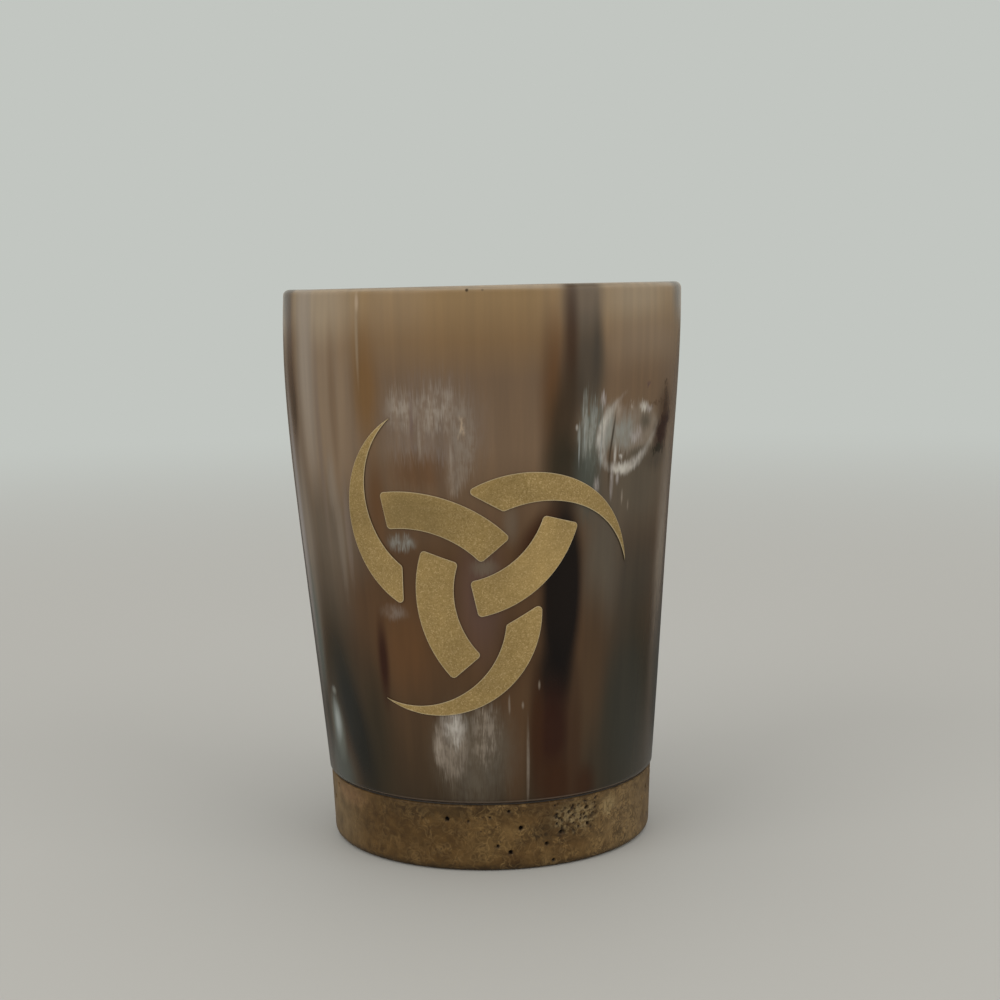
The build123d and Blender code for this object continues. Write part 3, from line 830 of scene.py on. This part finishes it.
def burrWood():
    material, tree = newMaterial("oiledBurrWood")
    place = millimetres(tree)
    around, z = unrolled(tree, place, baseSet["rollRadius"])
    tone = addNode(tree, "TexNoise", {"Vector": place, "Scale": baseSet["toneScale"], "Detail": 3.0})
    colour = addNode(
        tree, "ValToRGB", {0: tone},
        stops=[(0.3, "#402b10"), (0.45, "#4d3719"), (0.55, "#563f1f"), (0.7, "#624b29")],
    )
    low, high = noiseSpan
    flecks = addNode(tree, "TexNoise", {"Vector": place, "Scale": 1 / baseSet["fleckSize"], "Detail": 4.0})
    ragged = addNode(tree, "MapRange", {0: flecks, 1: low, 2: high, 3: -1.0, 4: 1.0})
    bare, whole = baseSet["fleckBreak"]
    less = addNode(tree, "MapRange", {0: flecks, 1: bare, 2: whole, 3: -1.0, 4: 0.0})
    colour = layMarks(tree, colour, baseMarks, woodTones, (around, z), (around, z), ragged, less)

    # light and dark cells of the burr
    cells = addNode(
        tree, "TexNoise",
        {
            "Vector": place, "Scale": baseSet["cellScale"], "Detail": 4.0,
            "Roughness": baseSet["cellRoughness"],
        },
    )
    cellShade = addNode(
        tree, "MapRange",
        {6: cells, 7: (low,) * 3, 8: (high,) * 3, 9: baseSet["cellDark"], 10: baseSet["cellLight"]},
        data_type="FLOAT_VECTOR",
    )
    colour = addNode(tree, "VectorMath", {0: colour, 1: cellShade[1]}, operation="MULTIPLY")

    # the figure is plain on the left and grows stronger to the right, in patches
    patches = addNode(tree, "TexNoise", {"Vector": place, "Scale": baseSet["patchScale"], "Detail": 2.0})
    low, high = baseSet["patchCut"]
    patchy = addNode(tree, "MapRange", {0: patches, 1: low, 2: high, 3: baseSet["patchLeast"]})
    weak, full = baseSet["figureSpan"]
    rightward = addNode(tree, "MapRange", {0: around, 1: weak, 2: full, 3: baseSet["figureLeast"]})
    strong = addNode(tree, "Math", {0: patchy, 1: rightward}, operation="MULTIPLY")
    for scale, code, amount in baseWorms:
        worm = addNode(
            tree, "TexNoise",
            {
                "Vector": place, "Scale": scale / baseSet["wormSize"], "Detail": 2.0,
                "Distortion": baseSet["wormBend"],
            },
        )
        offset = addNode(tree, "Math", {0: worm, 1: 0.5}, operation="SUBTRACT")
        ridge = addNode(tree, "Math", {0: offset}, operation="ABSOLUTE")
        line = addNode(tree, "MapRange", {0: ridge, 1: baseSet["wormWidth"], 2: 0.0, 4: amount})
        shown = addNode(tree, "Math", {0: line, 1: strong}, operation="MULTIPLY")
        colour = addNode(tree, "Mix", {0: shown, 6: colour, 7: hexColour(code)}, data_type="RGBA")[2]
    pores = addNode(tree, "TexVoronoi", {"Vector": place, "Scale": 1 / baseSet["poreSpacing"]})
    wood, pore = baseSet["poreEdge"]
    dots = addNode(tree, "MapRange", {0: pores["Distance"], 1: wood, 2: pore, 4: baseSet["poreShade"]})
    few, many = baseSet["poreCrowd"]
    crowded = addNode(tree, "MapRange", {0: patches, 1: few, 2: many})
    spots = addNode(tree, "Math", {0: dots, 1: crowded}, operation="MULTIPLY")
    colour = addNode(
        tree, "Mix", {0: spots, 6: colour, 7: hexColour(woodTones["pore"])}, data_type="RGBA"
    )[2]
    # painted shade in the pits, darker where they are deeper
    pit = addNode(tree, "Attribute", attribute_name="pitDepth")
    colour = addNode(
        tree, "Mix", {0: pit["Fac"], 6: colour, 7: hexColour(woodTones["pit"])}, data_type="RGBA"
    )[2]
    return finished(
        material, flecks, baseSet,
        {
            "Base Color": colour, "Roughness": baseSet["roughness"],
            "Specular IOR Level": baseSet["specular"],
        },
    )


def buildBase():
    tree = cadTree("wooden_base")
    lowest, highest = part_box("wooden_base")
    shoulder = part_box("glue_layer")[0].z
    bottomRound, topRound = baseSet["bottomRound"] * mm, baseSet["topRound"] * mm
    quarter = [math.pi / 2 * i / baseSet["roundRings"] for i in range(baseSet["roundRings"] + 1)]
    heights = [lowest.z + hair + bottomRound * (1 - math.cos(q)) for q in quarter]
    straight = shoulder - topRound - heights[-1]
    heights += [heights[-1] + straight * (i + 1) / baseSet["sideRows"] for i in range(baseSet["sideRows"])]
    heights += [shoulder - topRound + topRound * math.sin(q) - hair for q in quarter[2::3]]
    side = [readRing(tree, h) for h in heights]
    gap = baseSet["edgeGap"] * mm
    top = highest.z - gap
    spigot = [readRing(tree, h) for h in (shoulder + gap, highest.z - baseSet["spigotBevel"] * mm, top)]
    flatRings = baseSet["flatRings"]
    underside = [(Vector((0, 0, lowest.z)), side[0][1] * i / flatRings) for i in range(1, flatRings)]
    shoulderIn = (Vector((0, 0, shoulder)), spigot[0][1])
    rows = underside + side + [shoulderIn] + spigot
    rows += [(Vector((0, 0, top)), spigot[-1][1] * i / flatRings) for i in range(flatRings - 1, 0, -1)]
    firstSide, lastSide = len(underside), len(underside) + len(side) - 1

    draw = random.Random(baseSet["seed"])
    pits = list(basePits)
    for _ in range(baseSet["clusterPits"]):
        degrees, height = [draw.uniform(*span) for span in baseSet["clusterSpan"]]
        size = draw.uniform(*baseSet["clusterRadius"])
        pits.append((degrees, height, size, draw.uniform(*baseSet["clusterDepth"])))
    for _ in range(baseSet["pitCount"]):
        size = draw.uniform(*baseSet["pitRadius"])
        degrees, height = [draw.uniform(*span) for span in baseSet["pitSpan"]]
        pits.append((degrees, height, size, size * baseSet["pitDepth"]))
    baseRadius = side[len(side) // 2][1]
    depths = []

    def shape(centre, radius, way, angle, row):
        depth = 0.0
        if firstSide <= row <= lastSide:
            for degrees, height, size, deep in pits:
                away = (angle - math.radians(degrees) + math.pi) % turn - math.pi
                aside = away * baseRadius / mm
                if abs(aside) < size:
                    gap = math.hypot(aside, centre.z / mm - height) / size
                    depth = max(depth, deep * max(0.0, 1 - gap ** 3))
            spot = way * baseSet["unevenTurns"] + Vector((0, 0, centre.z / mm * baseSet["unevenRise"]))
            radius -= baseSet["uneven"] * mm * (0.5 + 0.5 * noise.noise(spot)) + depth * mm
        depths.append(min(1.0, depth * baseSet["pitShade"]))
        return centre + way * radius

    base = ringMesh("burr_base", rows, baseSet["columns"], shape, [burrWood()], lambda r, c: 0)
    depths += [0.0] * (len(base.data.vertices) - len(depths))
    base.data.attributes.new("pitDepth", "FLOAT", "POINT").data.foreach_set("value", depths)
    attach(base, "root")
    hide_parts("wooden_base")
    print("base built with", len(pits), "pits")


buildBase()


# Gold figure
# Gold metallic film: satin, with fine flakes that each tip a little and catch the light.

goldSet = {
    "flake": 0.15,  # mm, real flakes are finer
    "tilt": 0.08,
    "edge": 0.22,  # mm of painted highlight along the edge
    "edgeColour": "#d8c7a2",
    "edgeFacing": (0.995, 0.9),  # how alike the rounded and the flat normal are, from face to edge
    "edgeStrength": 0.7,
    "cloudScale": 0.3,  # clouds about 3 mm wide
    "cloudShade": (0.9, 1.08),
    "roughness": 0.5,
    "metallic": 0.7,
}

# tones of painted shade and painted light on the film
goldShadingTones = {"dull": "#7d6941", "bright": "#ceae70"}

# painted shade on the upper bar and painted light on the right, where the film catches the light unevenly,
# laid on as the horn's marks are
goldPaintedShading = [
    mark("dull", (-8, 48), (5, 3.5), strength=0.6),
    mark("bright", (8.5, 41.5), (3.5, 6), soft=0.9, strength=0.3),
]


def goldFilm():
    material, tree = newMaterial("goldFlakeFilm")
    place = millimetres(tree)
    spot = unrolled(tree, place, hornSet["rollRadius"])
    flakes = addNode(tree, "TexVoronoi", {"Vector": place, "Scale": 1 / goldSet["flake"]})
    chance = addNode(tree, "SeparateColor", {0: flakes["Color"]})
    colour = addNode(
        tree, "ValToRGB", {0: chance[0]},
        stops=[(0.0, "#987f4c"), (0.35, "#a48a56"), (0.8, "#ad925f"), (0.97, "#bda372")],
    )
    # painted shade and painted light over the flakes
    colour = layMarks(tree, colour, goldPaintedShading, goldShadingTones, spot, spot, 0.0, 0.0)
    cloud = addNode(tree, "TexNoise", {"Vector": place, "Scale": goldSet["cloudScale"], "Detail": 3.0})
    low, high = noiseSpan
    dark, light = goldSet["cloudShade"]
    shade = addNode(tree, "MapRange", {0: cloud, 1: low, 2: high, 3: dark, 4: light})
    shaded = addNode(tree, "VectorMath", {0: colour, "Scale": shade}, operation="SCALE")
    # painted highlight: the edge of the film is made paler than its face, where its bevel would catch the
    # light
    shape = addNode(tree, "NewGeometry")
    rounded = addNode(tree, "Bevel", {"Radius": goldSet["edge"] * mm}, samples=8)
    flatness = addNode(
        tree, "VectorMath", {0: rounded, 1: shape["Normal"]}, operation="DOT_PRODUCT"
    )["Value"]
    face, rim = goldSet["edgeFacing"]
    edge = addNode(tree, "MapRange", {0: flatness, 1: face, 2: rim, 4: goldSet["edgeStrength"]})
    edged = addNode(
        tree, "Mix", {0: edge, 6: shaded, 7: hexColour(goldSet["edgeColour"])}, data_type="RGBA"
    )[2]
    tip = addNode(tree, "VectorMath", {0: flakes["Color"], 1: (0.5, 0.5, 0.5)}, operation="SUBTRACT")
    tipped = addNode(
        tree, "VectorMath", {0: tip, 1: (goldSet["tilt"],) * 3, 2: shape["Normal"]}, operation="MULTIPLY_ADD"
    )
    facing = addNode(tree, "VectorMath", {0: tipped}, operation="NORMALIZE")
    shader = addNode(
        tree, "BsdfPrincipled",
        {
            "Base Color": edged, "Metallic": goldSet["metallic"],
            "Roughness": goldSet["roughness"], "Normal": facing,
        },
    )
    addNode(tree, "OutputMaterial", {0: shader})
    return material


glueSet = {
    "lump": 1.25,  # mm
    "relief": (0.4, 0.15),  # strength, depth in mm
    "roughness": 0.5,
}


def setGlue():
    # wood glue that set dark: nearly black, dull, a little lumpy
    material, tree = newMaterial("setDarkGlue")
    place = millimetres(tree)
    lumps = addNode(tree, "TexNoise", {"Vector": place, "Scale": 1 / glueSet["lump"], "Detail": 3.0})
    colour = addNode(tree, "ValToRGB", {0: lumps}, stops=[(0.35, "#17110c"), (0.7, "#31261c")])
    return finished(material, lumps, glueSet, {"Base Color": colour, "Roughness": glueSet["roughness"]})


resinSet = {
    "rippleScale": 0.12,  # ripples about 8 mm wide
    "relief": (0.15, 0.3),  # strength, depth in mm
    "roughness": 0.06,
    "ior": 1.5,
    "clear": 0.5,
}


def clearResin():
    # poured resin: honey-coloured, half clear and glossy, with a few slow ripples
    material, tree = newMaterial("pouredClearResin")
    place = millimetres(tree)
    ripple = addNode(tree, "TexNoise", {"Vector": place, "Scale": resinSet["rippleScale"], "Detail": 1.0})
    colour = addNode(tree, "ValToRGB", {0: ripple}, stops=[(0.3, "#96703a"), (0.7, "#ab8850")])
    return finished(
        material, ripple, resinSet,
        {
            "Base Color": colour, "Roughness": resinSet["roughness"], "IOR": resinSet["ior"],
            "Transmission Weight": resinSet["clear"],
        },
    )


def dressCadNodes():
    gold, glue, resin = goldFilm(), setGlue(), clearResin()
    for name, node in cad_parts.items():
        finish = gold if "leaf" in name else {"glue_layer": glue, "floor_seal": resin}.get(name)
        if finish:
            node.data.materials.clear()
            node.data.materials.append(finish)
    print("gold, glue and resin laid on")


dressCadNodes()


# Stage

stageSet = {
    "floor": "#aeaca5",
    "backdrop": "#c2c6c1",
    "room": 0.22,  # the room in front of the cup is this dim beside the backdrop
    "mirrored": 0.2,  # level in reflections of the far floor and of the floor behind the cup
    "behind": 0.05,  # metres behind the cup's axis over which the floor dims in reflections
    "floorRadius": 3.0,
    "floorDepth": 0.01,
    "floorRings": 6,
    "floorColumns": 96,
    "floorRoughness": 0.7,
    "fade": (0.16, 0.7),  # metres from the cup over which the floor turns into the backdrop
    "fill": 0.88,
    "aim": (0, 0, 0.04),  # metres, where the lamps point
}
lampSet = [
    # name, place in metres, size in metres, watts
    ("keyBox", (-0.75, -0.75, 0.55), (0.8, 1.1), 5.0),
    ("fillBox", (0.85, -0.55, 0.45), (0.8, 1.1), 3.8),
    ("topBox", (0.0, 0.25, 1.1), (1.0, 1.0), 1.0),
]


def seenPlainly(tree):
    # 1 for the rays that look at the stage straight, in a mirror or through glass
    path = addNode(tree, "LightPath")
    some = addNode(tree, "Math", {0: path["Is Camera Ray"], 1: path["Is Glossy Ray"]}, operation="MAXIMUM")
    return addNode(tree, "Math", {0: some, 1: path["Is Transmission Ray"]}, operation="MAXIMUM")


def buildStage():
    material, tree = newMaterial("paleStoneFloor")
    place = addNode(tree, "TexCoord")["Object"]
    away = addNode(tree, "VectorMath", {0: place}, operation="LENGTH")["Value"]
    near, far = stageSet["fade"]
    fade = addNode(tree, "MapRange", {0: away, 1: near, 2: far}, interpolation_type="SMOOTHSTEP")
    hidden = addNode(tree, "Math", {0: fade, 1: seenPlainly(tree)}, operation="MULTIPLY")
    back = addNode(tree, "SeparateXYZ", {0: place})[1]
    behind = addNode(tree, "MapRange", {0: back, 1: 0.0, 2: stageSet["behind"]})
    mirror = addNode(tree, "LightPath")["Is Glossy Ray"]
    shaded = addNode(tree, "Math", {0: behind, 1: mirror}, operation="MULTIPLY")
    hidden = addNode(tree, "Math", {0: hidden, 1: shaded}, operation="MAXIMUM")
    stone = addNode(
        tree, "BsdfPrincipled",
        {"Base Color": hexColour(stageSet["floor"]), "Roughness": stageSet["floorRoughness"]},
    )
    straight = addNode(tree, "LightPath")["Is Camera Ray"]
    level = addNode(tree, "Math", {0: straight, 1: stageSet["mirrored"]}, operation="MAXIMUM")
    plain = addNode(tree, "Emission", {"Color": hexColour(stageSet["backdrop"]), "Strength": level})
    mixed = addNode(tree, "MixShader", {0: hidden, 1: stone, 2: plain})
    addNode(tree, "OutputMaterial", {0: mixed})

    rings, radius = stageSet["floorRings"], stageSet["floorRadius"]
    rows = [(Vector((0, 0, -stageSet["floorDepth"])), radius)]
    rows += [(Vector((0, 0, 0)), radius * (i / rings) ** 2) for i in range(rings, 0, -1)]
    floor = ringMesh(
        "floor", rows, stageSet["floorColumns"],
        lambda centre, radius, way, angle, row: centre + way * radius, [material], lambda r, c: 0,
    )

    world = bpy.data.worlds.new("studio")
    world.use_nodes = True
    world.node_tree.nodes.clear()
    tree = world.node_tree
    light = addNode(tree, "Background", {"Color": (1, 1, 1, 1), "Strength": stageSet["fill"]})
    heading = addNode(tree, "SeparateXYZ", {0: addNode(tree, "TexCoord")["Generated"]})[1]
    dim = addNode(tree, "MapRange", {0: heading, 1: 0.0, 2: 1.0, 3: stageSet["room"], 4: 1.0})
    straight = addNode(tree, "LightPath")["Is Camera Ray"]
    level = addNode(tree, "Math", {0: straight, 1: dim}, operation="MAXIMUM")
    seen = addNode(tree, "Background", {"Color": hexColour(stageSet["backdrop"]), "Strength": level})
    both = addNode(tree, "MixShader", {0: seenPlainly(tree), 1: light, 2: seen})
    addNode(tree, "OutputWorld", {0: both})
    bpy.context.scene.world = world

    aim = Vector(stageSet["aim"])
    for name, spot, (width, tall), watts in lampSet:
        data = bpy.data.lights.new(name, "AREA")
        data.shape = "RECTANGLE"
        data.size, data.size_y = width, tall
        data.energy = watts
        lamp = bpy.data.objects.new(name, data)
        lamp.location = spot
        lamp.rotation_euler = (aim - Vector(spot)).to_track_quat("-Z", "Y").to_euler()
        bpy.context.scene.collection.objects.link(lamp)
    bpy.context.scene.view_settings.view_transform = "Standard"
    print("stage lit by", len(lampSet), "soft boxes")


buildStage()
